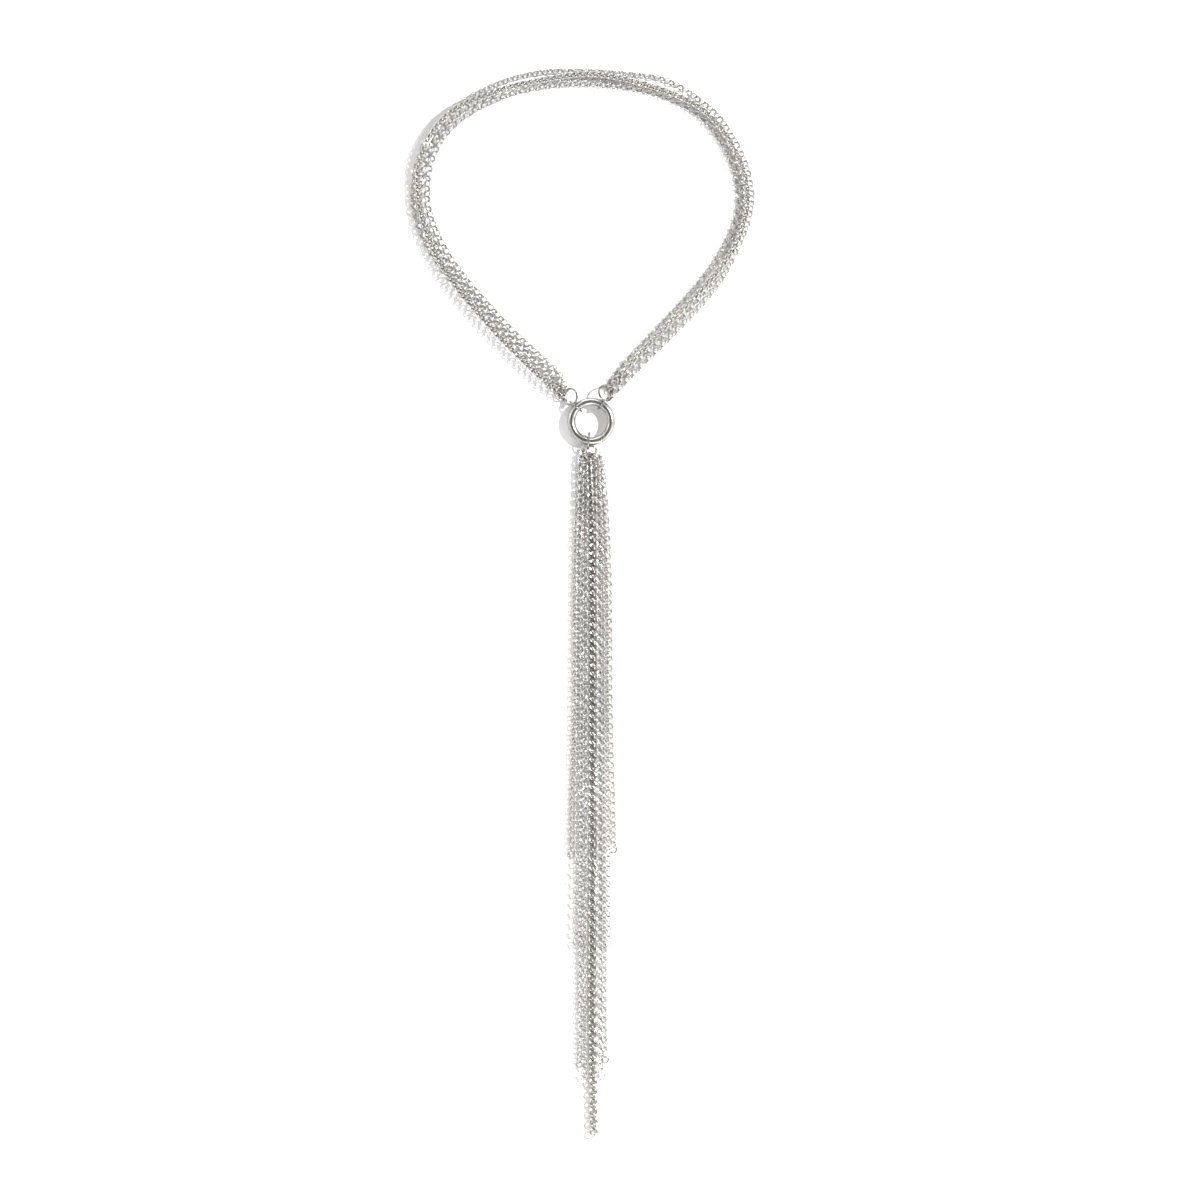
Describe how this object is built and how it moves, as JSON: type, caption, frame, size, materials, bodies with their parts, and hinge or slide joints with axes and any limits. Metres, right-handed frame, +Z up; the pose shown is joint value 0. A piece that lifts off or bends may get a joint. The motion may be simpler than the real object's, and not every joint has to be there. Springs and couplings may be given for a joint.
{
  "type": "tassel necklace",
  "caption": "Chain necklace: a neck loop of fine and heavy chain strands, a round sprung-gate clasp ring and a long chain tassel hung from it, laid out flat.",
  "frame": {"origin": "middle of the part's footprint on the table it lies on, with the table at z = 0", "axes": "+Y from the tassel's end towards the top of the neck loop, +Z up from the table, +X to the right as seen from above"},
  "size_m": [0.1446, 0.4481, 0.0076],
  "materials": {
    "clasp_metal": "bright polished silver plating",
    "pin_metal": "bright rivet end",
    "ring_metal": "bright polished silver plating on round wire",
    "chain_metal": "bright polished silver plating on round-wire links"
  },
  "bodies": {
    "necklace": {"clasp_ring": "clasp_metal", "gate_pin": "pin_metal", "link_left": "ring_metal", "link_right": "ring_metal", "link_tassel": "ring_metal", "neck_ring_left": "ring_metal", "neck_ring_right": "ring_metal", "tassel_ring": "ring_metal", "neck_chain_inner": "chain_metal", "neck_chain_middle": "chain_metal", "neck_chain_outer": "chain_metal", "neck_chain_heavy": "chain_metal", "tassel_chain_heavy": "chain_metal", "tassel_chain_left_1": "chain_metal", "tassel_chain_left_2": "chain_metal", "tassel_chain_left_3": "chain_metal", "tassel_chain_left_4": "chain_metal", "tassel_chain_right_1": "chain_metal", "tassel_chain_right_2": "chain_metal", "tassel_chain_right_3": "chain_metal", "tassel_chain_right_4": "chain_metal"},
    "gate": {"clasp_gate": "clasp_metal"}
  },
  "joints": [
    {"name": "gate_hinge", "type": "hinge", "parent": "necklace", "child": "gate", "pos_m": [-0.00094, 0.06892, 0.0036], "axis": [0, 0, 1], "range_deg": [0, 15], "stiffness_Nm_per_rad": 0.01, "springref_deg": -17.19}
  ]
}
